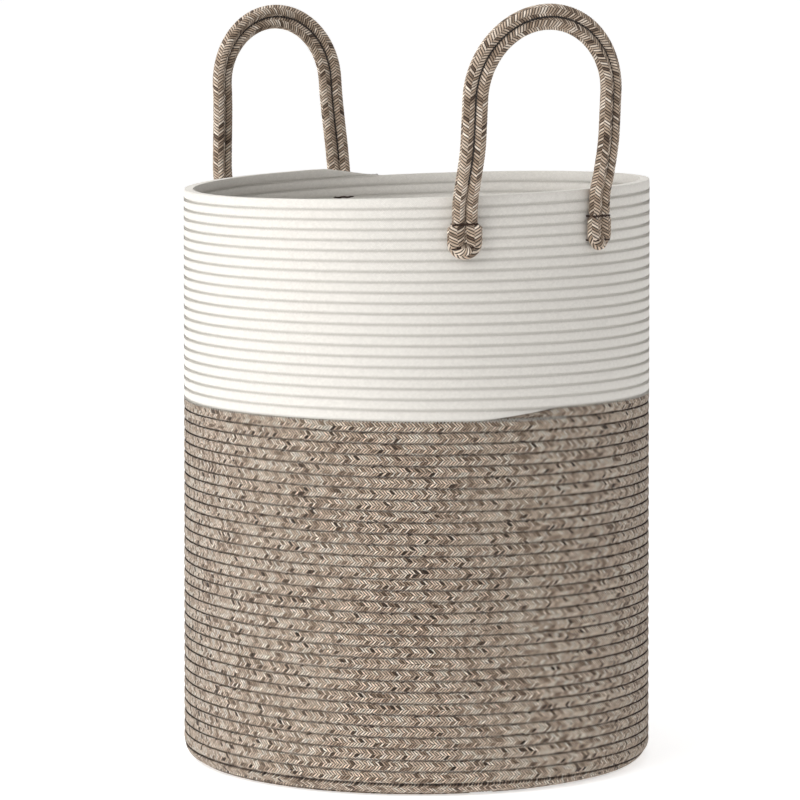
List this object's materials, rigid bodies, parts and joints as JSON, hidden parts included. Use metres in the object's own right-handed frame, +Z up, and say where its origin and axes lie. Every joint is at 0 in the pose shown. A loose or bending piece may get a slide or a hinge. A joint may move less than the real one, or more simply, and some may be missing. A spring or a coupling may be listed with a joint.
{
  "type": "laundry basket",
  "caption": "Tall round open-topped basket of coiled, sewn rope, brown below and cream above, with standing doubled-rope loop handles that fold in over the rim or out down the wall.",
  "frame": {"origin": "centre of the base where it rests on the floor", "axes": "+Z up through the open top; the front handle is towards -Y, its legs along X"},
  "size_m": [0.38, 0.4168, 0.6145],
  "materials": {
    "brown_rope": "braided cotton rope of mixed brown and cream yarns",
    "cream_rope": "braided undyed cotton rope",
    "rope_filler": "loose cotton filler",
    "brown_thread": "dark polyester sewing thread",
    "cream_thread": "cream polyester sewing thread"
  },
  "bodies": {
    "basket": {"base_coil": "brown_rope", "base_core": "rope_filler", "base_stitching": "brown_thread", "lower_wall_coil": "brown_rope", "lower_wall_core": "rope_filler", "lower_wall_stitching": "brown_thread", "upper_wall_coil": "cream_rope", "upper_wall_core": "rope_filler", "upper_wall_stitching": "cream_thread", "front_left_foot": "brown_rope", "front_right_foot": "brown_rope", "front_foot_core": "rope_filler", "front_left_tacks": "brown_thread", "front_right_tacks": "brown_thread", "back_left_foot": "brown_rope", "back_right_foot": "brown_rope", "back_foot_core": "rope_filler", "back_left_tacks": "brown_thread", "back_right_tacks": "brown_thread"},
    "front_bend": {"front_left_bend": "brown_rope", "front_right_bend": "brown_rope", "front_bend_core": "rope_filler"},
    "front_handle": {"front_outer_rope": "brown_rope", "front_inner_rope": "brown_rope", "front_handle_core": "rope_filler", "front_handle_seam": "brown_thread"},
    "back_bend": {"back_left_bend": "brown_rope", "back_right_bend": "brown_rope", "back_bend_core": "rope_filler"},
    "back_handle": {"back_outer_rope": "brown_rope", "back_inner_rope": "brown_rope", "back_handle_core": "rope_filler", "back_handle_seam": "brown_thread"}
  },
  "joints": [
    {"name": "front_handle_fold_out", "type": "hinge", "parent": "basket", "child": "front_bend", "pos_m": [0, -0.19288, 0.45483], "axis": [1, 0, 0], "range_deg": [0, 165]},
    {"name": "front_handle_fold_in", "type": "hinge", "parent": "front_bend", "child": "front_handle", "pos_m": [0, -0.17521, 0.46783], "axis": [-1, 0, 0], "range_deg": [0, 115]},
    {"name": "back_handle_fold_out", "type": "hinge", "parent": "basket", "child": "back_bend", "pos_m": [-0.03017, 0.1905, 0.45483], "axis": [-0.9877, -0.1564, 0], "range_deg": [0, 165]},
    {"name": "back_handle_fold_in", "type": "hinge", "parent": "back_bend", "child": "back_handle", "pos_m": [-0.02741, 0.17306, 0.46783], "axis": [0.9877, 0.1564, 0], "range_deg": [0, 115]}
  ]
}
